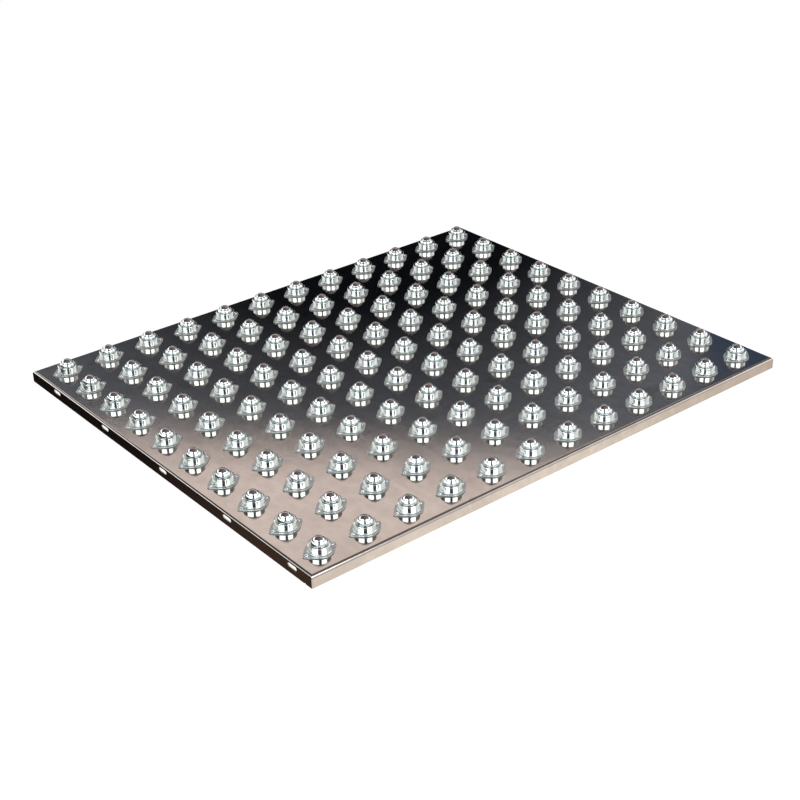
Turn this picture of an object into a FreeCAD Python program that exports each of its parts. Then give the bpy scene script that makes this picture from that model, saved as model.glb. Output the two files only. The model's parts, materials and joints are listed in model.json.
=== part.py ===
"""Ball transfer platform: a folded steel tray that carries rows of flange-mounted ball units.

Millimetres. The origin is the middle of the tray at its lower edge, +X runs along a row of units,
+Y from row to row, and +Z up. A unit's own heights are counted from the top of the tray.
"""
import FreeCAD, Part
import math
import os
import re
import Sketcher

SIZES = {
    # the field of ball units and the tray under it
    "columns": 12,
    "rows": 10,
    "pitch": 100,
    "margin_x": 57,
    "margin_y": 54,
    "tray_depth": 25,
    "tray_sheet": 2,
    "bend_radius": 6,
    "corner_gap": 1,
    # fixing slots and drain notch in the two end flanges
    "slot_length": 26,
    "slot_width": 8,
    "slot_drop": 8.5,
    "slot_shift": 27,
    "slot_inner": 220,
    "slot_outer": 421,
    "notch_radius": 2,
    "notch_inset": 20,
    # pressed housing with its two-eared flange
    "flange_sheet": 2,
    "flange_radius": 26.5,
    "ear_radius": 7,
    "rivet_reach": 27.5,
    "body_radius": 20.5,
    "body_height": 17,
    "housing_wall": 1.2,
    "shoulder_radius": 2.5,
    "root_radius": 2.5,
    "mouth_radius": 16.7,
    # load ball, bearing balls and the hardened cup that they run in
    "ball_radius": 12.7,
    "load_height": 30.5,
    "bearing_radius": 1.5875,
    "ball_gap": 0.25,
    "bed_gap": 0.1,
    "bed_rings": 3,
    "bed_ring_angle": 20,
    "bed_first_ring": 6,
    "bed_ring_step": 4,
    "cup_wall": 1.2,
    "cup_foot_radius": 6,
    "lip_thickness": 1.1,
    "play": 0.1,
    # domed cap and the felt ring inside it
    "groove_gap": 0.8,
    "cap_wall": 1,
    "cap_step": 0.4,
    "cap_rim_height": 23.8,
    "cap_rim_width": 0.6,
    "cap_rim_depth": 1.3,
    "cap_gap": 0.8,
    "dome_radius": 8,
    "seal_gap": 0.3,
    "seal_height": 2.6,
    # blind rivets
    "rivet_radius": 2,
    "rivet_head_radius": 3.5,
    "rivet_head_height": 2,
    "rivet_head_edge": 0.5,
    "rivet_dimple_radius": 1.1,
    "rivet_dimple_depth": 0.6,
    "rivet_tail_radius": 3,
    "rivet_tail_length": 3,
}

# places that several pieces share, written in the names above
TRAY_LENGTH = "((columns - 1) * pitch + 2 * margin_x)"
TRAY_WIDTH = "((rows - 1) * pitch + 2 * margin_y)"
BALL_CENTRE = "(load_height - ball_radius)"
BED_RADIUS = "(ball_radius + ball_gap + bearing_radius)"
CUP_INSIDE = f"({BED_RADIUS} + bearing_radius + bed_gap)"
CUP_OUTSIDE = f"({CUP_INSIDE} + cup_wall)"
HOUSING_INSIDE = "(body_radius - housing_wall)"
LIP_RADIUS = f"({HOUSING_INSIDE} - play)"
CAP_LIP_TOP = "(body_height - housing_wall - play)"
CAP_LIP_FOOT = f"({CAP_LIP_TOP} - lip_thickness)"
CUP_LIP_TOP = f"({CAP_LIP_FOOT} - play)"
CUP_LIP_FOOT = f"({CUP_LIP_TOP} - lip_thickness)"
CAP_OUTSIDE = "(mouth_radius - groove_gap)"
CAP_INSIDE = f"({CAP_OUTSIDE} - cap_wall)"
CAP_SPRING = "(body_height + cap_step)"
HOLE_RADIUS = "(rivet_radius + play)"
ROW_RUN = ("X_Axis", "columns", "pitch")

doc = FreeCAD.newDocument("ball_transfer_platform")
sheet = doc.addObject("Spreadsheet::Sheet", "sheet")
for line, (name, value) in enumerate(SIZES.items(), start=1):
    sheet.set(f"A{line}", name)
    sheet.set(f"B{line}", str(value))
    sheet.setAlias(f"B{line}", name)
doc.recompute()


def bound(text):
    """An expression in the sheet's names, as any object of the document can read it."""
    return re.sub(r"[a-z_]+", lambda word: "sheet." + word[0] if word[0] in SIZES else word[0], text)


def size(text):
    """The present value of such an expression."""
    return float(sheet.evalExpression(bound(text)))


def origin_item(body, role):
    return next(item for item in body.Origin.OriginFeatures if item.Role == role)


def new_body(label):
    body = doc.addObject("PartDesign::Body", label)
    body.Label = label
    return body


def new_sketch(body, role):
    sketch = body.newObject("Sketcher::SketchObject", body.Name + "_sketch")
    sketch.AttachmentSupport = (origin_item(body, role), [""])
    sketch.MapMode = "FlatFace"
    return sketch


def constrain(sketch, text, *constraint):
    """Add a dimension and bind it to an expression."""
    number = sketch.addConstraint(Sketcher.Constraint(*constraint, size(text)))
    sketch.setExpression(f"Constraints[{number}]", bound(text))


def place(sketch, edge, end, across, up):
    """Fix one end of an edge at a point given by two expressions."""
    for kind, axis, text in (("DistanceX", -2, across), ("DistanceY", -1, up)):
        if text == "0":
            sketch.addConstraint(Sketcher.Constraint("PointOnObject", edge, end, axis))
        else:
            constrain(sketch, text, kind, -1, 1, edge, end)


def arc_between(start, end, radius, bulge):
    """An arc of under half a turn, to the left of the way from start to end where bulge is 1, else -1."""
    chord = end - start
    normal = FreeCAD.Vector(-chord.y, chord.x, 0).normalize() * bulge
    sagitta = radius - math.sqrt(radius ** 2 - (chord.Length / 2) ** 2)
    return Part.Arc(start, start + chord / 2 + normal * sagitta, end)


def outline(sketch, corners):
    """A closed outline. A corner is (across, up), or (across, up, radius, bulge) where an arc leaves it."""
    points = [FreeCAD.Vector(size(corner[0]), size(corner[1]), 0) for corner in corners]
    edges = []
    for number, corner in enumerate(corners):
        start, end = points[number], points[(number + 1) % len(points)]
        if len(corner) == 2:
            edges.append((sketch.addGeometry(Part.LineSegment(start, end)), 1, 2))
            continue
        edge = sketch.addGeometry(arc_between(start, end, size(corner[2]), corner[3]))
        # a sketch keeps every arc anticlockwise, so one that runs the other way has its ends swapped
        ends = (1, 2) if sketch.getPoint(edge, 1).isEqual(start, 1e-6) else (2, 1)
        edges.append((edge, *ends))
    for number, corner in enumerate(corners):
        edge, start, end = edges[number]
        following, first, _ = edges[(number + 1) % len(edges)]
        sketch.addConstraint(Sketcher.Constraint("Coincident", edge, end, following, first))
        place(sketch, edge, start, corner[0], corner[1])
        if len(corner) > 2:
            constrain(sketch, corner[2], "Radius", edge)


def circle(sketch, across, up, radius):
    middle = FreeCAD.Vector(size(across), size(up), 0)
    edge = sketch.addGeometry(Part.Circle(middle, FreeCAD.Vector(0, 0, 1), size(radius)))
    place(sketch, edge, 3, across, up)
    constrain(sketch, radius, "Radius", edge)


def rectangle(sketch, left, right, low, high):
    outline(sketch, [(left, low), (right, low), (right, high), (left, high)])


def revolve(body, corners):
    """A full turn of a profile, given as (radius, height) corners, round the body's Z axis."""
    sketch = new_sketch(body, "XZ_Plane")
    outline(sketch, corners)
    turned = body.newObject("PartDesign::Revolution", body.Name + "_turned")
    turned.Profile = sketch
    turned.ReferenceAxis = (sketch, ["V_Axis"])
    turned.Angle = 360
    doc.recompute()
    return turned


def pad(body, sketch, length):
    padded = body.newObject("PartDesign::Pad", body.Name + "_pad")
    padded.Profile = sketch
    padded.setExpression("Length", bound(length))
    doc.recompute()
    return padded


def pocket(body, sketch, length=None, both_ways=False):
    """Cut upwards from the sketch by a length, or right through on both sides of it."""
    before = body.Shape.Volume
    cut = body.newObject("PartDesign::Pocket", body.Name + "_pocket")
    cut.Profile = sketch
    if both_ways:
        cut.Type = "ThroughAll"
        cut.Midplane = True
    else:
        cut.Reversed = True
        cut.setExpression("Length", bound(length))
    doc.recompute()
    if not body.Shape.Volume < before:
        raise RuntimeError(f"{cut.Name} cuts nothing")
    return cut


def fillet(body, base, wanted, radius):
    """Round the edges of the last feature that wanted picks."""
    names = [f"Edge{number}" for number, edge in enumerate(base.Shape.Edges, start=1) if wanted(edge)]
    rounded = body.newObject("PartDesign::Fillet", body.Name + "_fillet")
    rounded.Base = (base, names)
    rounded.setExpression("Radius", bound(radius))
    doc.recompute()
    return rounded


def pattern(body, original, axis, count, spacing):
    """Repeat along an axis: one feature, or the whole body if original is None."""
    repeated = body.newObject("PartDesign::LinearPattern", body.Name + "_pattern")
    if original is None:
        repeated.TransformMode = "Whole shape"
    else:
        repeated.Originals = [original]
    repeated.Direction = (origin_item(body, axis), [""])
    repeated.Mode = "Spacing"
    repeated.setExpression("Offset", bound(spacing))
    repeated.setExpression("Occurrences", bound(count))
    body.Tip = repeated
    doc.recompute()
    return repeated


def row_place(row):
    """Where the first unit of a row stands on the tray."""
    return "(1 - columns) / 2 * pitch", f"({row} - (rows - 1) / 2) * pitch", "tray_depth"


def sphere_height(radius, across):
    """How far a sphere's surface lies from its middle along Z, at a distance from the axis, or the reverse."""
    return f"sqrt({radius} ^ 2 - ({across}) ^ 2)"


def make_tray():
    """The sheet-metal tray: a flat deck, four flanges folded down, rivet holes, and slots in both ends."""
    body = new_body("deck_tray")
    half_x, half_y = f"{TRAY_LENGTH} / 2", f"{TRAY_WIDTH} / 2"

    blank = new_sketch(body, "XY_Plane")
    rectangle(blank, f"-{half_x}", half_x, f"-{half_y}", half_y)
    block = pad(body, blank, "tray_depth")
    top = size("tray_depth")
    outer = fillet(body, block, lambda e: e.BoundBox.ZMin > top - 1e-3, "bend_radius")

    hollow = new_sketch(body, "XY_Plane")
    rectangle(hollow, f"tray_sheet - {half_x}", f"{half_x} - tray_sheet",
              f"tray_sheet - {half_y}", f"{half_y} - tray_sheet")
    inside = pocket(body, hollow, "tray_depth - tray_sheet")
    ceiling = size("tray_depth - tray_sheet")
    wall_x, wall_y = size(f"{half_x} - tray_sheet"), size(f"{half_y} - tray_sheet")

    def under_bend(edge):
        box = edge.BoundBox
        level = abs(box.ZMin - ceiling) < 1e-3 and box.ZLength < 1e-3
        return level and (abs(abs(box.Center.x) - wall_x) < 1e-3 or abs(abs(box.Center.y) - wall_y) < 1e-3)

    fillet(body, inside, under_bend, "bend_radius - tray_sheet")

    # the long flanges stop short of the end flanges, which leaves an open slit at each corner
    slits = new_sketch(body, "XY_Plane")
    for x_sign in ("", "-"):
        for y_sign in ("", "-"):
            near, far = f"{half_x} - tray_sheet - corner_gap", f"{half_x} - tray_sheet"
            low, high = f"{half_y} - 2 * tray_sheet", f"{half_y} + tray_sheet"
            rectangle(slits, *(f"{x_sign}({text})" for text in (near, far)),
                      *(f"{y_sign}({text})" for text in (low, high)))
    pocket(body, slits, "tray_depth - bend_radius")

    # both ends are alike, each turned half round from the other
    for end in (-1, 1):
        datum = new_sketch(body, "YZ_Plane")
        datum.setExpression("AttachmentOffset.Base.z", bound(f"{end} * {half_x}"))
        height = "tray_depth - slot_drop"
        for reach in ("0", "slot_inner", "-slot_inner", "slot_outer", "-slot_outer"):
            centre = f"{end} * (slot_shift + {reach})"
            straight = "(slot_length - slot_width) / 2"
            left, right = f"{centre} - {straight}", f"{centre} + {straight}"
            low, high = f"{height} - slot_width / 2", f"{height} + slot_width / 2"
            middle = f"{right} + slot_width / 2", f"{left} - slot_width / 2"
            quarter = ("slot_width / 2", -1)
            outline(datum, [(left, low), (right, low, *quarter), (middle[0], height, *quarter), (right, high),
                            (left, high, *quarter), (middle[1], height, *quarter)])
        circle(datum, f"{end} * ({half_y} - notch_inset)", "0", "notch_radius")
        cut = body.newObject("PartDesign::Pocket", "end_slots")
        cut.Profile = datum
        cut.Midplane = True
        cut.setExpression("Length", bound("4 * tray_sheet"))
        doc.recompute()

    holes = new_sketch(body, "XY_Plane")
    for row in range(int(size("rows"))):
        first_x, y, _ = row_place(row)
        for side in ("-", "+"):
            circle(holes, f"{first_x} {side} rivet_reach", y, HOLE_RADIUS)
    drilled = pocket(body, holes, both_ways=True)
    pattern(body, drilled, *ROW_RUN)
    return body


def make_housing():
    """One pressed housing: a round wall with a turned-in shoulder, on a flange with two rivet ears."""
    body = new_body("unit_housing")
    root = "body_radius + root_radius"
    revolve(body, [
        (HOUSING_INSIDE, "0"),
        (root, "0"),
        (root, "flange_sheet", "root_radius", 1),
        ("body_radius", "flange_sheet + root_radius"),
        ("body_radius", "body_height - shoulder_radius", "shoulder_radius", -1),
        ("body_radius - shoulder_radius", "body_height"),
        ("mouth_radius", "body_height"),
        ("mouth_radius", "body_height - housing_wall"),
        (HOUSING_INSIDE, "body_height - housing_wall"),
    ])
    # the flange is a round middle and two round ears, joined by straight edges that touch both
    lean = "((flange_radius - ear_radius) / rivet_reach)"
    rise = f"sqrt(1 - {lean} ^ 2)"
    mid_x, mid_y = f"flange_radius * {lean}", f"flange_radius * {rise}"
    ear_x, ear_y = f"rivet_reach + ear_radius * {lean}", f"ear_radius * {rise}"
    tip = "rivet_reach + ear_radius"
    flange = new_sketch(body, "XY_Plane")
    outline(flange, [
        (ear_x, f"-{ear_y}", "ear_radius", -1),
        (tip, "0", "ear_radius", -1),
        (ear_x, ear_y),
        (mid_x, mid_y, "flange_radius", -1),
        (f"-({mid_x})", mid_y),
        (f"-({ear_x})", ear_y, "ear_radius", -1),
        (f"-({tip})", "0", "ear_radius", -1),
        (f"-({ear_x})", f"-{ear_y}"),
        (f"-({mid_x})", f"-{mid_y}", "flange_radius", -1),
        (mid_x, f"-{mid_y}"),
    ])
    circle(flange, "0", "0", "body_radius")
    for side in ("", "-"):
        circle(flange, f"{side}rivet_reach", "0", HOLE_RADIUS)
    pad(body, flange, "flange_sheet")
    return body


def make_cap():
    """One domed cap: a lip held under the housing's shoulder, a short skirt, and a dome round the ball."""
    body = new_body("unit_cap")
    reach = "(ball_radius + cap_gap)"
    rim = sphere_height(reach, f"cap_rim_height - {BALL_CENTRE}")
    under_rim = sphere_height(reach, f"cap_rim_height - cap_rim_depth - {BALL_CENTRE}")
    revolve(body, [
        (CAP_INSIDE, CAP_LIP_FOOT),
        (LIP_RADIUS, CAP_LIP_FOOT),
        (LIP_RADIUS, CAP_LIP_TOP),
        (CAP_OUTSIDE, CAP_LIP_TOP),
        (CAP_OUTSIDE, CAP_SPRING, "dome_radius", -1),
        (f"{rim} + cap_rim_width", "cap_rim_height"),
        (rim, "cap_rim_height"),
        (under_rim, "cap_rim_height - cap_rim_depth", "dome_radius - cap_wall", 1),
        (CAP_INSIDE, CAP_SPRING),
    ])
    return body


def make_cup():
    """One hardened cup: a bowl with a foot on the deck and a lip that centres it in the housing."""
    body = new_body("unit_cup")
    revolve(body, [
        ("0", "0"),
        ("cup_foot_radius", "0"),
        ("cup_foot_radius", f"{BALL_CENTRE} - {sphere_height(CUP_OUTSIDE, 'cup_foot_radius')}", CUP_OUTSIDE, -1),
        (sphere_height(CUP_OUTSIDE, f"{BALL_CENTRE} - {CUP_LIP_FOOT}"), CUP_LIP_FOOT),
        (LIP_RADIUS, CUP_LIP_FOOT),
        (LIP_RADIUS, CUP_LIP_TOP),
        (sphere_height(CUP_INSIDE, f"{BALL_CENTRE} - {CUP_LIP_TOP}"), CUP_LIP_TOP, CUP_INSIDE, 1),
        ("0", f"{BALL_CENTRE} - {CUP_INSIDE}"),
    ])
    return body


def make_seal():
    """One felt ring, pressed into the cap's skirt and lying round the ball's widest part."""
    body = new_body("unit_seal")
    inside, outside = "ball_radius + seal_gap", f"{CAP_INSIDE} - play"
    foot, top = CAP_LIP_FOOT, f"{CAP_LIP_FOOT} + seal_height"
    revolve(body, [(inside, foot), (outside, foot), (outside, top), (inside, top)])
    return body


def make_ball():
    """One load ball."""
    body = new_body("unit_ball")
    revolve(body, [
        ("0", f"{BALL_CENTRE} - ball_radius", "ball_radius", -1),
        ("ball_radius", BALL_CENTRE, "ball_radius", -1),
        ("0", f"{BALL_CENTRE} + ball_radius"),
    ])
    return body


def make_rivet():
    """One blind rivet: a domed head with a dimple, a shank through flange and deck, and a set tail."""
    body = new_body("unit_rivet")
    head = "flange_sheet + rivet_head_height"
    foot = "-tray_sheet - rivet_tail_length"
    revolve(body, [
        ("0", foot),
        ("rivet_radius", foot),
        ("rivet_tail_radius", f"{foot} + rivet_tail_radius - rivet_radius"),
        ("rivet_tail_radius", "-tray_sheet"),
        ("rivet_radius", "-tray_sheet"),
        ("rivet_radius", "flange_sheet"),
        ("rivet_head_radius", "flange_sheet"),
        ("rivet_head_radius", "flange_sheet + rivet_head_edge", "rivet_head_radius", -1),
        ("rivet_dimple_radius", head),
        ("rivet_dimple_radius", f"{head} - rivet_dimple_depth"),
        ("0", f"{head} - rivet_dimple_depth"),
    ])
    return body


def make_copies(label, unit, steps, x, y, z):
    """A body that starts from a unit's piece, repeats it in steps and stands at x, y, z."""
    body = new_body(label)
    body.BaseFeature = unit
    doc.recompute()
    for step in steps:
        pattern(body, None, *step)
    for axis, text in zip("xyz", (x, y, z)):
        body.setExpression(f"Placement.Base.{axis}", bound(text))
    return body


def bed_of_balls():
    """The bearing balls of one unit, in level rings between the load ball and the cup."""
    radius, middle = size(BED_RADIUS), size(BALL_CENTRE)
    balls = []
    for ring in range(int(size("bed_rings"))):
        angle = math.radians(size("bed_ring_angle") * (ring + 1))
        count = int(size("bed_first_ring") + ring * size("bed_ring_step"))
        for number in range(count):
            turn = 2 * math.pi * number / count
            across = radius * math.sin(angle)
            centre = FreeCAD.Vector(across * math.cos(turn), across * math.sin(turn),
                                    middle - radius * math.cos(angle))
            balls.append(Part.makeSphere(size("bearing_radius"), centre))
    return Part.makeCompound(balls)


def make_bed(label, rows):
    """The bearing balls of some rows of units, one loose solid each."""
    bed = bed_of_balls()
    copies = []
    for row in rows:
        x, y, z = (size(text) for text in row_place(row))
        for column in range(int(size("columns"))):
            copies.append(bed.translated(FreeCAD.Vector(x + column * size("pitch"), y, z)))
    node = doc.addObject("Part::Feature", label)
    node.Label = label
    node.Shape = Part.makeCompound([ball for copy in copies for ball in copy.Solids])
    return node


ROWS_IN_A_BED = 2
row_count = int(size("rows"))
unit_pieces = {
    "ball_housings": make_housing(),
    "dome_caps": make_cap(),
    "race_cups": make_cup(),
    "wiper_seals": make_seal(),
    "load_balls": make_ball(),
}
nodes = [make_tray()]
for piece, unit in unit_pieces.items():
    for row in range(row_count):
        nodes.append(make_copies(f"{piece}_row_{row + 1:02d}", unit, [ROW_RUN], *row_place(row)))
for first in range(0, row_count, ROWS_IN_A_BED):
    rows = range(first, min(first + ROWS_IN_A_BED, row_count))
    nodes.append(make_bed(f"bearing_balls_rows_{rows[0] + 1:02d}_{rows[-1] + 1:02d}", rows))
first_x, first_y, deck = row_place(0)
nodes.append(make_copies(
    "blind_rivets", make_rivet(),
    [("X_Axis", "2", "2 * rivet_reach"), ROW_RUN, ("Y_Axis", "rows", "pitch")],
    f"{first_x} - rivet_reach", first_y, deck))
doc.recompute()

for item in doc.Objects:
    if "Invalid" in item.State or "Error" in item.State:
        raise RuntimeError(f"{item.Label} failed: {item.State}")
for node in nodes:
    if node.Shape.isNull() or not node.Shape.isValid() or not node.Shape.Solids:
        raise RuntimeError(f"{node.Label} has no valid solid")

os.makedirs("parts", exist_ok=True)
for node in nodes:
    node.Shape.exportStep(f"parts/{node.Label}.step")
    print(node.Label, len(node.Shape.Solids), "solids", round(node.Shape.Volume / 1000, 2), "cm3")
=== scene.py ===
"""Ball transfer platform: a folded steel tray with rows of zinc-plated ball units riveted to it.

Metres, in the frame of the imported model: origin under the middle of the tray, +X along a row, +Z up.
A unit's own heights are counted from the top of the deck.
"""
import bmesh
import bpy
import json
import math
from mathutils import Matrix, Vector


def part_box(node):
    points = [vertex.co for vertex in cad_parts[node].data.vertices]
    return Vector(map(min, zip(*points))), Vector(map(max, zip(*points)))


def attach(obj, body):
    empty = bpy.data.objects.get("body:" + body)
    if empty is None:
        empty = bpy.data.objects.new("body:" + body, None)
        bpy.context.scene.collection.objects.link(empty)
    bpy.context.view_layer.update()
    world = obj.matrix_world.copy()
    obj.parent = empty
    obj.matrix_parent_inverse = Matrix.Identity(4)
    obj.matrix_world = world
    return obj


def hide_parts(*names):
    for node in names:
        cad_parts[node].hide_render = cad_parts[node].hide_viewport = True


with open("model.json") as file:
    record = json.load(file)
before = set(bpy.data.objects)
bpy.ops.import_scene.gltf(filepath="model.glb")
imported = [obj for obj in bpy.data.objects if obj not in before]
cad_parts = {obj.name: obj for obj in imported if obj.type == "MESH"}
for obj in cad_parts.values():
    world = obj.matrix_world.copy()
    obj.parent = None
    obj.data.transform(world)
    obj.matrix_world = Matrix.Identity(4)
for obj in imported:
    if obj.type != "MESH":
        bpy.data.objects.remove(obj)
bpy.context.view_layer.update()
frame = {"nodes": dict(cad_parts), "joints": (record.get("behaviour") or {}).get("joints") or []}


# Deck tray
# One sheet of bright cold-rolled steel, punched and folded down on all four sides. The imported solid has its
# bends, slots and slits, so it stays, with the half-mirror of handled sheet: roll grain, wipe marks, stains.
deck_low, deck_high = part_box("deck_tray")
deck_top = deck_high.z
clean_steel = (0.68, 0.65, 0.61, 1)
worn_steel = (0.57, 0.545, 0.51, 1)
brown_stain = (0.36, 0.27, 0.20, 1)
wear_span = (0.75, 1.25)
stain_span, stain_strength = (0.64, 0.74), 0.5
sheet_roughness = (0.045, 0.075)
grain_depth = 0.000018
cloud_span = (0.3, 0.7)     # most of a cloud's values lie between these


def add_node(tree, kind, inputs=None, **settings):
    """A shader node with its settings, and inputs that are plain values or other nodes' outputs."""
    made = tree.nodes.new(kind)
    for name, value in settings.items():
        setattr(made, name, value)
    for key, value in (inputs or {}).items():
        if isinstance(value, bpy.types.NodeSocket):
            tree.links.new(value, made.inputs[key])
        else:
            made.inputs[key].default_value = value
    return made


def new_material(name, metallic):
    """A material with its node tree and its shader."""
    material = bpy.data.materials.new(name)
    material.use_nodes = True
    shader = material.node_tree.nodes["Principled BSDF"]
    shader.inputs["Metallic"].default_value = metallic
    return material, material.node_tree, shader


def own_place(tree):
    """The coordinates of the piece that a material is on."""
    return add_node(tree, "ShaderNodeTexCoord").outputs["Object"]


def cloud(tree, scale, detail=4.0, stretch=(1.0, 1.0, 1.0)):
    """Soft noise over a piece, drawn out by stretching its coordinates."""
    mapped = add_node(tree, "ShaderNodeMapping", {"Vector": own_place(tree), "Scale": stretch})
    return add_node(tree, "ShaderNodeTexNoise", {"Vector": mapped.outputs["Vector"], "Scale": scale,
                                                 "Detail": detail}).outputs["Fac"]


def ranged(tree, value, low, high, to_low=0.0, to_high=1.0):
    """A value brought from one range to another, without going past the ends."""
    return add_node(tree, "ShaderNodeMapRange", {"Value": value, "From Min": low, "From Max": high,
                                                 "To Min": to_low, "To Max": to_high}).outputs["Result"]


def combined(tree, operation, first, second):
    """The sum, product or such of two values."""
    return add_node(tree, "ShaderNodeMath", {0: first, 1: second}, operation=operation).outputs[0]


def between(tree, share, first, second):
    """A colour between two others, which a Mix node takes at its sockets 6 and 7 and gives at its output 2."""
    return add_node(tree, "ShaderNodeMix", {0: share, 6: first, 7: second}, data_type="RGBA").outputs[2]


def bump(tree, shader, height, strength, distance):
    """Fine relief of a finish."""
    made = add_node(tree, "ShaderNodeBump", {"Height": height, "Strength": strength, "Distance": distance})
    tree.links.new(made.outputs["Normal"], shader.inputs["Normal"])


deck_finish, tree, shader = new_material("deck_sheet", metallic=1.0)
smudges = cloud(tree, scale=5.0, detail=6.0)
wipes = cloud(tree, scale=3.0, stretch=(2.0, 14.0, 2.0))
stains = cloud(tree, scale=11.0, detail=8.0, stretch=(1.0, 1.3, 1.0))
mottle = cloud(tree, scale=45.0, stretch=(1.0, 0.6, 1.0))
rolled = cloud(tree, scale=3500.0, detail=1.0)
wear = combined(tree, "ADD", smudges, mottle)
steel = between(tree, ranged(tree, wear, *wear_span), clean_steel, worn_steel)
stained = between(tree, ranged(tree, stains, *stain_span, to_high=stain_strength), steel, brown_stain)
tree.links.new(stained, shader.inputs["Base Color"])
tree.links.new(ranged(tree, wipes, *cloud_span, *sheet_roughness), shader.inputs["Roughness"])
bump(tree, shader, rolled, strength=1.0, distance=grain_depth)
deck_mesh = frame["nodes"]["deck_tray"].data
deck_mesh.materials.clear()
deck_mesh.materials.append(deck_finish)


# Ball housings
# Pressed from sheet and zinc plated: a round wall with a turned-in shoulder, on a flange with two ears that is
# riveted to the deck. The press leaves the wall burnished and the flange dull. The flange's edge is painted
# dark to stand for the shadow line where it meets the deck: painted shade.
row_places = [joint["pos_m"][1] for joint in frame["joints"]]
pitch = row_places[1] - row_places[0]
ball_low, ball_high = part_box("load_balls_row_01")
ball_radius = (ball_high.z - ball_low.z) / 2
column_count = round((ball_high.x - ball_low.x - 2 * ball_radius) / pitch) + 1
column_places = [ball_low.x + ball_radius + pitch * column for column in range(column_count)]

body_radius = 0.0205
body_height = 0.017
wall = 0.0012
shoulder = 0.0025
root = 0.0025
mouth_radius = 0.0167
flange_sheet = 0.002
flange_radius = 0.0265
ear_radius = 0.007
rivet_reach = 0.0275
pressed_edge = 0.0004
wall_segments = 48
bend_steps = 6
edge_steps = 2
outline_steps = 8
merge_distance = 1e-6

flange_top = deck_top + flange_sheet
# Painted shade: the flange's edge is darkened below these heights, standing for the shadow line at its foot.
shade_full_below = flange_top - 1.5 * pressed_edge
shade_gone_above = flange_top - 0.5 * pressed_edge
dull_below = flange_top + 0.1 * root
burnished_above = flange_top + 0.6 * root
light_zinc = (0.80, 0.87, 0.86, 1)
grey_zinc = (0.74, 0.81, 0.81, 1)
# The dark colour of that painted shade on the flange's edge.
painted_edge_shade = (0.22, 0.23, 0.23, 1)
dull_roughness, burnished_roughness, frost_roughness = 0.42, 0.1, 0.08
frost_depth = 0.0001
scene = bpy.context.scene


def alike(first, second):
    return abs(first - second) < merge_distance


def start_profile(bm, radius, height):
    return bm.verts.new((radius, 0, height))


def line_to(bm, vertex, *corners):
    """Carry a profile on in straight lines, through corners given by radius and height."""
    for radius, height in corners:
        vertex = bmesh.ops.extrude_vert_indiv(bm, verts=[vertex])["verts"][0]
        vertex.co = (radius, 0, height)
    return vertex


def last_vertex(spun):
    """The vertex at which the spin of a single vertex ends."""
    return next(item for item in spun["geom_last"] if isinstance(item, bmesh.types.BMVert))


def arc_to(bm, vertex, radius, height, degrees, steps):
    """Carry a profile on round a centre: anticlockwise as seen with the radius to the right, if positive."""
    return last_vertex(bmesh.ops.spin(bm, geom=[vertex], cent=(radius, 0, height), axis=(0, -1, 0),
                                      angle=math.radians(degrees), steps=steps))


def merge(bm):
    bmesh.ops.remove_doubles(bm, verts=bm.verts[:], dist=merge_distance)


def turn(bm, segments):
    """Turn the profile once round the unit's axis and close it."""
    bmesh.ops.spin(bm, geom=bm.verts[:] + bm.edges[:], cent=(0, 0, 0), axis=(0, 0, 1),
                   angle=math.tau, steps=segments, use_merge=True)
    merge(bm)


def keep_unit(bm, name, crease_degrees=32, flat_height=None):
    """The finished mesh of one unit's piece, smooth but for its creases and the edges of one flat height."""
    bmesh.ops.recalc_face_normals(bm, faces=bm.faces[:])
    for face in bm.faces:
        face.smooth = True
    for edge in bm.edges:
        flat = flat_height is not None and all(alike(vertex.co.z, flat_height) for vertex in edge.verts)
        edge.smooth = edge.is_manifold and not flat and edge.calc_face_angle() < math.radians(crease_degrees)
    mesh = bpy.data.meshes.new(name)
    bm.to_mesh(mesh)
    bm.free()
    return mesh


def set_out(unit, name, places, material, slot, body, *nodes):
    """A piece made of copies of one unit's mesh, which rides on a body and stands for CAD nodes."""
    bm = bmesh.new()
    for x, y in places:
        before = len(bm.verts)
        bm.from_mesh(unit)
        bm.verts.ensure_lookup_table()
        bmesh.ops.translate(bm, verts=bm.verts[before:], vec=(x, y, deck_top))
    mesh = bpy.data.meshes.new(name)
    bm.to_mesh(mesh)
    bm.free()
    mesh.materials.append(material)
    piece = bpy.data.objects.new(name, mesh)
    scene.collection.objects.link(piece)
    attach(piece, body)
    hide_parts(*nodes)


def set_out_rows(unit, name, node, material, slot, body="deck"):
    """One such piece for each row of units. A body name may hold a place for the row's number."""
    for row, y in enumerate(row_places, start=1):
        places = [(x, y) for x in column_places]
        number = f"{row:02d}"
        set_out(unit, f"{name}_{number}", places, material, slot, body.format(number), f"{node}_row_{number}")


def flange_outline(bm, height, inset):
    """The edges of the flange's outline at a height: a round middle and two ears, joined by their tangents."""
    earlier = set(bm.edges)
    tangent = math.acos((flange_radius - ear_radius) / rivet_reach)
    arcs = []
    for middle_x, radius, first, sweep in (
            (rivet_reach, ear_radius, -tangent, 2 * tangent),
            (0, flange_radius, tangent, math.pi - 2 * tangent),
            (-rivet_reach, ear_radius, math.pi - tangent, 2 * tangent),
            (0, flange_radius, math.pi + tangent, math.pi - 2 * tangent)):
        reach = radius - inset
        start = bm.verts.new((middle_x + reach * math.cos(first), reach * math.sin(first), height))
        spun = bmesh.ops.spin(bm, geom=[start], cent=(middle_x, 0, 0), axis=(0, 0, 1), angle=sweep,
                              steps=outline_steps)
        arcs.append((start, last_vertex(spun)))
    for (_, end), (start, _) in zip(arcs, arcs[1:] + arcs[:1]):
        bm.edges.new((end, start))
    return [edge for edge in bm.edges if edge not in earlier]


def open_loop(bm, radius, height):
    """The round free edge of the turned wall at a height."""
    return [edge for edge in bm.edges if edge.is_boundary and all(
        alike(vertex.co.z, height) and alike(vertex.co.xy.length, radius) for vertex in edge.verts)]


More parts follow.
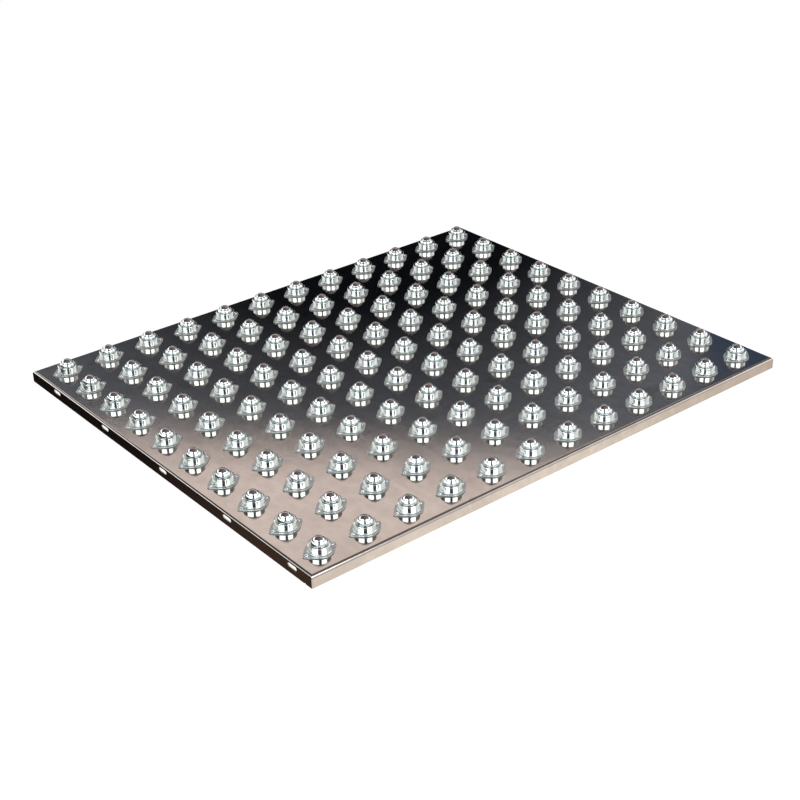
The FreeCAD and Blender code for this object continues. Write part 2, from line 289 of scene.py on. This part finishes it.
bm = bmesh.new()
vertex = start_profile(bm, body_radius + root, flange_sheet)
vertex = arc_to(bm, vertex, body_radius + root, flange_sheet + root, -90, bend_steps)
vertex = line_to(bm, vertex, (body_radius, body_height - shoulder))
vertex = arc_to(bm, vertex, body_radius - shoulder, body_height - shoulder, 90, bend_steps)
vertex = line_to(bm, vertex, (mouth_radius + pressed_edge, body_height))
vertex = arc_to(bm, vertex, mouth_radius + pressed_edge, body_height - pressed_edge, 90, edge_steps)
line_to(bm, vertex, (mouth_radius, body_height - wall), (body_radius - wall, body_height - wall),
        (body_radius - wall, 0))
turn(bm, wall_segments)
wall_root = open_loop(bm, body_radius + root, flange_sheet)
wall_foot = open_loop(bm, body_radius - wall, 0)
top_edges = flange_outline(bm, flange_sheet, pressed_edge)
rim_edges = flange_outline(bm, flange_sheet - pressed_edge, 0)
foot_edges = flange_outline(bm, 0, 0)
bmesh.ops.bridge_loops(bm, edges=top_edges + rim_edges)
bmesh.ops.bridge_loops(bm, edges=rim_edges + foot_edges)
bmesh.ops.triangle_fill(bm, use_beauty=True, edges=top_edges + wall_root)
bmesh.ops.triangle_fill(bm, use_beauty=True, edges=foot_edges + wall_foot)
housing = keep_unit(bm, "housing_unit", flat_height=flange_sheet)

zinc, tree, shader = new_material("zinc_plate", metallic=1.0)
tint = cloud(tree, scale=60.0, detail=3.0)
frosting = cloud(tree, scale=420.0, detail=5.0)
plate = between(tree, ranged(tree, tint, *cloud_span), light_zinc, grey_zinc)
above = add_node(tree, "ShaderNodeSeparateXYZ", {"Vector": own_place(tree)}).outputs["Z"]
# Painted shade on the flange's edge: full below the lower height and gone above the upper one.
edge_shade = ranged(tree, above, shade_full_below, shade_gone_above, 1.0, 0.0)
tree.links.new(between(tree, edge_shade, plate, painted_edge_shade), shader.inputs["Base Color"])
burnished = ranged(tree, above, dull_below, burnished_above, dull_roughness, burnished_roughness)
frosted = ranged(tree, frosting, *cloud_span, to_high=frost_roughness)
tree.links.new(combined(tree, "ADD", burnished, frosted), shader.inputs["Roughness"])
bump(tree, shader, frosting, strength=0.06, distance=frost_depth)
set_out_rows(housing, "pressed_housings", "ball_housings", zinc, "housing_zinc")


# Race cups
# Hardened bowls that stand on the deck inside the housings, with a lip that centres them under the shoulder.
# They can't be seen from outside, so they are turned with few segments.
ball_centre = (ball_high.z + ball_low.z) / 2 - deck_top
bearing_radius = 0.0015875
ball_gap = 0.00025
cup_gap = 0.0001
cup_wall = 0.0012
bed_radius = ball_radius + ball_gap + bearing_radius
cup_inside = bed_radius + bearing_radius + cup_gap
cup_outside = cup_inside + cup_wall
cup_foot = 0.006
lip_radius = 0.0192
cup_lip_foot = 0.0134
cup_lip_top = 0.0145
cup_segments = 24
bowl_steps = 8
dark_temper = (0.40, 0.39, 0.38, 1)
light_temper = (0.50, 0.48, 0.46, 1)
cup_roughness = (0.24, 0.36)

bm = bmesh.new()
foot_angle = math.degrees(math.acos(cup_foot / cup_outside))
lip_angle = math.degrees(math.asin((ball_centre - cup_lip_foot) / cup_outside))
mouth_angle = math.degrees(math.asin((ball_centre - cup_lip_top) / cup_inside))
cup_mouth = math.sqrt(cup_inside ** 2 - (ball_centre - cup_lip_top) ** 2)
foot_height = ball_centre - math.sqrt(cup_outside ** 2 - cup_foot ** 2)
vertex = start_profile(bm, 0, 0)
vertex = line_to(bm, vertex, (cup_foot, 0), (cup_foot, foot_height))
vertex = arc_to(bm, vertex, 0, ball_centre, foot_angle - lip_angle, bend_steps)
vertex = line_to(bm, vertex, (lip_radius, cup_lip_foot), (lip_radius, cup_lip_top), (cup_mouth, cup_lip_top))
arc_to(bm, vertex, 0, ball_centre, mouth_angle - 90, bowl_steps)
turn(bm, cup_segments)
cup = keep_unit(bm, "cup_unit")

hardened, tree, shader = new_material("hardened_steel", metallic=1.0)
temper = cloud(tree, scale=90.0)
tree.links.new(between(tree, temper, dark_temper, light_temper), shader.inputs["Base Color"])
tree.links.new(ranged(tree, temper, *cloud_span, *cup_roughness), shader.inputs["Roughness"])
set_out_rows(cup, "hardened_cups", "race_cups", hardened, "cup_hardened")


# Bearing balls
# Small polished balls in level rings between the load ball and the cup. Thousands of them lie out of sight,
# so each has few faces.
ring_step_degrees = 20
first_ring = 6
ring_growth = 4
ring_count = 3
rows_in_a_bed = 2
bright_polish = (0.80, 0.80, 0.81, 1)
hazy_polish = (0.72, 0.72, 0.74, 1)
haze_span = (0.35, 0.75)
polish_roughness = (0.03, 0.10)

bm = bmesh.new()
for ring in range(ring_count):
    down = math.radians(ring_step_degrees * (ring + 1))
    count = first_ring + ring_growth * ring
    for number in range(count):
        around = Matrix.Rotation(math.tau * number / count, 4, "Z")
        centre = around @ Vector((bed_radius * math.sin(down), 0, ball_centre - bed_radius * math.cos(down)))
        bmesh.ops.create_icosphere(bm, subdivisions=1, radius=bearing_radius,
                                   matrix=Matrix.Translation(centre))
bed = keep_unit(bm, "bearing_bed_unit", crease_degrees=180)

polished, tree, shader = new_material("polished_steel", metallic=1.0)
haze = cloud(tree, scale=140.0, detail=5.0)
tree.links.new(between(tree, haze, bright_polish, hazy_polish), shader.inputs["Base Color"])
tree.links.new(ranged(tree, haze, *haze_span, *polish_roughness), shader.inputs["Roughness"])
for first in range(0, len(row_places), rows_in_a_bed):
    places = [(x, y) for y in row_places[first:first + rows_in_a_bed] for x in column_places]
    numbers = f"{first + 1:02d}_{first + rows_in_a_bed:02d}"
    set_out(bed, f"bearing_bed_{numbers}", places, polished, "bearing_ball_steel", "deck",
            f"bearing_balls_rows_{numbers}")


# Load balls
# Polished one-inch balls that carry the load. Each stands out of its cap by about a quarter of its width and
# turns with its row.
ball_segments = 36
ball_rings = 24

bm = bmesh.new()
bmesh.ops.create_uvsphere(bm, u_segments=ball_segments, v_segments=ball_rings, radius=ball_radius,
                          matrix=Matrix.Translation((0, 0, ball_centre)))
ball = keep_unit(bm, "ball_unit", crease_degrees=180)
set_out_rows(ball, "carrying_balls", "load_balls", polished, "load_ball_steel", "ball_row_{}")


# Felt rings
# Oiled felt pressed into the skirt of each cap, which keeps dirt out of the bearing balls.
# Only a dark line of it shows, deep in the gap between ball and cap.
felt_gap = 0.0003
felt_inside = ball_radius + felt_gap
felt_outside = 0.0148
felt_foot = 0.0146
felt_top = 0.0172
felt_segments = 32
felt_roughness = 0.9
felt_relief = 0.0003
dark_felt = (0.05, 0.045, 0.04, 1)
light_felt = (0.12, 0.11, 0.10, 1)

bm = bmesh.new()
vertex = start_profile(bm, felt_inside, felt_foot)
line_to(bm, vertex, (felt_outside, felt_foot), (felt_outside, felt_top), (felt_inside, felt_top),
        (felt_inside, felt_foot))
merge(bm)
turn(bm, felt_segments)
felt = keep_unit(bm, "felt_unit")

felt_finish, tree, shader = new_material("oiled_felt", metallic=0.0)
shader.inputs["Roughness"].default_value = felt_roughness
fibres = cloud(tree, scale=1500.0, detail=6.0)
tree.links.new(between(tree, fibres, dark_felt, light_felt), shader.inputs["Base Color"])
bump(tree, shader, fibres, strength=0.5, distance=felt_relief)
set_out_rows(felt, "felt_rings", "wiper_seals", felt_finish, "seal_felt")


# Dome caps
# Pressed and zinc plated like the housings. A lip holds each cap under the housing's shoulder, and its dome
# closes round the ball to a thin rim.
cap_outside = 0.0159
cap_inside = 0.0149
cap_lip_foot = 0.0146
cap_lip_top = 0.0157
cap_spring = 0.0174
dome_radius = 0.014
dome_steps = 8
rim_height = 0.0238
rim_gap = 0.0008
rim_width = 0.0006
under_rim_height = 0.0225


def beside_ball(height):
    """The radius at a height that leaves the rim's gap to the load ball."""
    return math.sqrt((ball_radius + rim_gap) ** 2 - (height - ball_centre) ** 2)


bm = bmesh.new()
vertex = start_profile(bm, cap_inside, cap_lip_foot)
vertex = line_to(bm, vertex, (lip_radius, cap_lip_foot), (lip_radius, cap_lip_top), (cap_outside, cap_lip_top),
                 (cap_outside, cap_spring))
rim_radius = beside_ball(rim_height)
dome_chord = Vector((rim_radius + rim_width - cap_outside, rim_height - cap_spring))
dome_degrees = math.degrees(2 * math.asin(dome_chord.length / 2 / dome_radius))
dome_normal = Vector((-dome_chord.y, dome_chord.x)).normalized()
dome_centre = (Vector((cap_outside, cap_spring)) + dome_chord / 2
               + dome_normal * math.sqrt(dome_radius ** 2 - (dome_chord.length / 2) ** 2))
vertex = arc_to(bm, vertex, *dome_centre, dome_degrees, dome_steps)
line_to(bm, vertex, (rim_radius, rim_height), (beside_ball(under_rim_height), under_rim_height),
        (cap_inside, cap_spring), (cap_inside, cap_lip_foot))
merge(bm)
turn(bm, wall_segments)
cap = keep_unit(bm, "cap_unit")
set_out_rows(cap, "domed_caps", "dome_caps", zinc, "cap_zinc")


# Blind rivets
# Two for each unit, set through the ears and the deck: a low domed head with the dimple of its pulled pin
# above, and a swollen tail under the deck.
head_radius = 0.0035
head_edge = 0.0005
head_height = 0.002
crown_radius = 0.0028
crown_height = 0.0014
dimple_radius = 0.0011
dimple_depth = 0.0006
shank_radius = 0.002
tail_radius = 0.003
tail_length = 0.003
deck_sheet = 0.002
rivet_segments = 10
rivet_crease_degrees = 50
bright_alloy = (0.93, 0.94, 0.95, 1)
grey_alloy = (0.84, 0.86, 0.88, 1)
alloy_roughness = (0.14, 0.22)

bm = bmesh.new()
head_top = flange_sheet + head_height
tail_foot = -deck_sheet - tail_length
vertex = start_profile(bm, 0, tail_foot)
line_to(bm, vertex, (shank_radius, tail_foot), (tail_radius, tail_foot + tail_radius - shank_radius),
        (tail_radius, -deck_sheet), (shank_radius, -deck_sheet), (shank_radius, flange_sheet),
        (head_radius, flange_sheet), (head_radius, flange_sheet + head_edge),
        (crown_radius, flange_sheet + crown_height), (dimple_radius, head_top),
        (dimple_radius, head_top - dimple_depth), (0, head_top - dimple_depth))
turn(bm, rivet_segments)
rivet = keep_unit(bm, "rivet_unit", rivet_crease_degrees)

rivet_finish, tree, shader = new_material("rivet_alloy", metallic=1.0)
drawn = cloud(tree, scale=300.0)
tree.links.new(between(tree, drawn, bright_alloy, grey_alloy), shader.inputs["Base Color"])
tree.links.new(ranged(tree, drawn, *cloud_span, *alloy_roughness), shader.inputs["Roughness"])
rivet_places = [(x + side * rivet_reach, y) for y in row_places for x in column_places for side in (-1, 1)]
set_out(rivet, "set_rivets", rivet_places, rivet_finish, "rivet_alloy", "deck", "blind_rivets")


# Floor
# A plain pale floor that shows white, with a faint shadow round the tray. It is far wider than the picture.
floor_reach = 15
floor_grey = (0.25, 0.25, 0.25, 1)
floor_glow = 0.94


def shown_share(tree):
    """1 for rays from the camera, mirrors and glass, else 0."""
    path = add_node(tree, "ShaderNodeLightPath")
    seen = combined(tree, "MAXIMUM", path.outputs["Is Camera Ray"], path.outputs["Is Glossy Ray"])
    return combined(tree, "MAXIMUM", seen, path.outputs["Is Transmission Ray"])


floor_mesh = bpy.data.meshes.new("floor")
bm = bmesh.new()
bmesh.ops.create_grid(bm, x_segments=1, y_segments=1, size=floor_reach)
bm.to_mesh(floor_mesh)
bm.free()
floor = bpy.data.objects.new("floor", floor_mesh)
scene.collection.objects.link(floor)

floor_finish, tree, shader = new_material("pale_floor", metallic=0.0)
shader.inputs["Base Color"].default_value = floor_grey
shader.inputs["Roughness"].default_value = 1.0
shader.inputs["Specular IOR Level"].default_value = 0.0
shader.inputs["Emission Color"].default_value = (1, 1, 1, 1)
tree.links.new(combined(tree, "MULTIPLY", shown_share(tree), floor_glow), shader.inputs["Emission Strength"])
floor_mesh.materials.append(floor_finish)


# Room
# Pale walls, brightest at the sides and grey at their foot in front, under a dim ceiling that is lighter on
# the right. Mirrors show the room in full, and it lights the object at half that strength.
view_degrees = 51.5
camera_side = view_degrees + 180
side_wall = (1.5, 1.5, 1.5, 1)
front_wall = (1.2, 1.2, 1.24, 1)
grey_skirting = (0.62, 0.63, 0.65, 1)
left_ceiling = (0.075, 0.07, 0.068, 1)
right_ceiling = (0.22, 0.18, 0.165, 1)
front_wall_turns = (86, 74)     # degrees off the camera's side, where each begins and where it is full
skirting_turns = (95, 80)
skirting_elevations = (20, 12)
ceiling_elevations = (28, 33)
ceiling_reach = 0.6
lighting_strength, shown_strength = 0.5, 1.0


def sine(degrees):
    return math.sin(math.radians(degrees))


def cosine(degrees):
    return math.cos(math.radians(degrees))


def vector_step(tree, operation, *vectors, gives="Vector"):
    """One step of arithmetic on vectors."""
    made = add_node(tree, "ShaderNodeVectorMath", dict(enumerate(vectors)), operation=operation)
    return made.outputs[gives]


scene.view_settings.view_transform = "Standard"
world = bpy.data.worlds.new("studio")
world.use_nodes = True
scene.world = world
tree = world.node_tree
direction = add_node(tree, "ShaderNodeTexCoord").outputs["Generated"]
height = add_node(tree, "ShaderNodeSeparateXYZ", {"Vector": direction}).outputs["Z"]
level = vector_step(tree, "NORMALIZE", vector_step(tree, "MULTIPLY", direction, (1, 1, 0)))
towards_camera = (cosine(camera_side), sine(camera_side), 0)
towards_right = (-sine(camera_side), cosine(camera_side), 0)
forward = vector_step(tree, "DOT_PRODUCT", level, towards_camera, gives="Value")
rightward = vector_step(tree, "DOT_PRODUCT", direction, towards_right, gives="Value")
walls = between(tree, ranged(tree, forward, *map(cosine, front_wall_turns)), side_wall, front_wall)
in_front = ranged(tree, forward, *map(cosine, skirting_turns))
low_down = ranged(tree, height, *map(sine, skirting_elevations))
walls = between(tree, combined(tree, "MULTIPLY", in_front, low_down), walls, grey_skirting)
to_the_right = ranged(tree, rightward, -ceiling_reach, ceiling_reach)
ceiling = between(tree, to_the_right, left_ceiling, right_ceiling)
overhead = ranged(tree, height, *map(sine, ceiling_elevations))
background = tree.nodes["Background"]
tree.links.new(between(tree, overhead, walls, ceiling), background.inputs["Color"])
strength = ranged(tree, shown_share(tree), 0.0, 1.0, lighting_strength, shown_strength)
tree.links.new(strength, background.inputs["Strength"])


# Soft boxes
# Two lamps behind white cloth, one on each side of the camera. They light the platform evenly and give the
# pair of light spots on every ball.
box_elevation = 30.5
box_distance = 3.0
box_height = 1.3
box_radiance = 2.8
left_box_turn, left_box_width = -34, 2.2
right_box_turn, right_box_width = 36.5, 2.0


def facing(azimuth, elevation, distance):
    """Where something stands that is seen from the middle of the deck in a direction, turned to face it."""
    away = Vector((cosine(azimuth) * cosine(elevation), sine(azimuth) * cosine(elevation), sine(elevation)))
    spot = Vector((0, 0, deck_top)) + away * distance
    return Matrix.Translation(spot) @ away.to_track_quat("Z", "Y").to_matrix().to_4x4()


def soft_box(name, azimuth, width):
    """A lamp as bright for its size as the others, which faces the middle of the deck."""
    light = bpy.data.lights.new(name, "AREA")
    light.shape = "RECTANGLE"
    light.size = width
    light.size_y = box_height
    light.energy = box_radiance * math.pi * width * box_height
    lamp = bpy.data.objects.new(name, light)
    lamp.matrix_world = facing(azimuth, box_elevation, box_distance)
    scene.collection.objects.link(lamp)


soft_box("soft_box_left", camera_side + left_box_turn, left_box_width)
soft_box("soft_box_right", camera_side + right_box_turn, right_box_width)


# Cards
# Painted boards that only the bright metal shows. Behind the platform stand a dark, a bright and a navy one,
# and behind the camera a dark one. Two pale ones lie on the floor. A dark one leans at the left foot as
# painted
# shade: it stands for the shadow on the floor there, which the tray's left flange mirrors.
back_distance = 3.0
back_left = 0.2
back_lean = math.radians(-6.5)
back_width = 5.0
back_top, bright_top = 1.97, 3.3
navy_width = 2.3
navy_right, navy_nearer = 2.45, 0.05
camera_card_width, camera_card_height = 1.45, 1.7
camera_card_turn, camera_card_elevation, camera_card_distance = 3, 14, 3.1
floor_level = 0.0005
near_floor_width, near_floor_depth = 2.6, 0.024
far_floor_width, far_floor_depth = 4.0, 1.0
foot_width = 0.15
foot_reach = 0.1
foot_lean = math.radians(35)


def card(name, width, height, matrix, colours, fade):
    """A card whose colour changes between two distances from the middle of its lower edge."""
    mesh = bpy.data.meshes.new(name)
    bm = bmesh.new()
    bmesh.ops.create_grid(bm, x_segments=1, y_segments=1, size=0.5)
    bmesh.ops.translate(bm, verts=bm.verts[:], vec=(0, 0.5, 0))
    bmesh.ops.scale(bm, vec=(width, height, 1), verts=bm.verts[:])
    bm.to_mesh(mesh)
    bm.free()
    finish, tree, shader = new_material(name, metallic=0.0)
    away = vector_step(tree, "LENGTH", own_place(tree), gives="Value")
    near_colour, far_colour = ((*colour, 1) for colour in colours)
    shader.inputs["Base Color"].default_value = (0, 0, 0, 1)
    shader.inputs["Specular IOR Level"].default_value = 0.0
    shader.inputs["Emission Strength"].default_value = 1.0
    faded = between(tree, ranged(tree, away, *fade), near_colour, far_colour)
    tree.links.new(faded, shader.inputs["Emission Color"])
    mesh.materials.append(finish)
    made = bpy.data.objects.new(name, mesh)
    made.matrix_world = matrix
    scene.collection.objects.link(made)
    made.visible_camera = False
    made.visible_diffuse = False
    made.visible_shadow = False


back_wall = facing(view_degrees, 0, back_distance)
back_foot = back_wall @ Matrix.Translation((back_left, 0, 0)) @ Matrix.Rotation(back_lean, 4, "Z")
card("dark_back", back_width, back_top, back_foot,
     colours=((0.004, 0.005, 0.007), (0.15, 0.16, 0.19)), fade=(1.28, 2.15))
card("bright_back", back_width, bright_top - back_top, back_foot @ Matrix.Translation((0, back_top, 0)),
     colours=((0.9, 0.77, 0.73), (0.9, 0.79, 0.75)), fade=(0.5, 2.0))
card("navy_back", navy_width, back_top, back_wall @ Matrix.Translation((-navy_right, 0, -navy_nearer)),
     colours=((0.02, 0.044, 0.092), (0.11, 0.12, 0.16)), fade=(1.6, 2.1))
card("dark_camera", camera_card_width, camera_card_height,
     facing(camera_side + camera_card_turn, camera_card_elevation, camera_card_distance),
     colours=((0.03, 0.045, 0.07), (0.05, 0.06, 0.08)), fade=(0.0, 1.7))
half_turn = Matrix.Rotation(math.pi, 4, "Z")
card("near_floor", near_floor_width, near_floor_depth,
     Matrix.Translation((deck_high.x, deck_low.y, floor_level)) @ half_turn,
     colours=((0.82, 0.69, 0.60), (1.08, 0.97, 0.87)), fade=(0.0, 0.5))
card("far_floor", far_floor_width, far_floor_depth,
     Matrix.Translation((0, deck_low.y - near_floor_depth, floor_level)) @ half_turn,
     colours=((0.68, 0.59, 0.61), (0.70, 0.61, 0.62)), fade=(0.0, 1.0))
# Painted shade: a dark card along the tray's left foot that stands for the floor's shadow there, seen only in
# the metal.
left_foot = Matrix.Translation((deck_low.x, deck_low.y, floor_level)) @ Matrix.Rotation(foot_lean, 4, "Y")
card("painted_foot_shade", foot_width, deck_high.y - deck_low.y + foot_reach,
     left_foot @ Matrix.Translation((-foot_width / 2, 0, 0)),
     colours=((0.07, 0.044, 0.034), (0.012, 0.009, 0.008)), fade=(0.0, 0.6))


# Camera
# At the photograph's place and lens, aimed a little in front of the middle of the deck and slightly rolled.
camera_eye = Vector((-1.7733, -2.2247, 1.4823))
camera_aim = Vector((-0.1025, -0.1215, 0.025))
roll_degrees = -1.624
lens_millimetres, sensor_millimetres = 67.567, 36

camera_data = bpy.data.cameras.new("camera")
camera_data.lens = lens_millimetres
camera_data.sensor_width = sensor_millimetres
camera = bpy.data.objects.new("camera", camera_data)
aimed = (camera_aim - camera_eye).to_track_quat("-Z", "Y").to_matrix().to_4x4()
rolled_over = Matrix.Rotation(math.radians(roll_degrees), 4, "Z")
camera.matrix_world = Matrix.Translation(camera_eye) @ aimed @ rolled_over
scene.collection.objects.link(camera)
scene.camera = camera
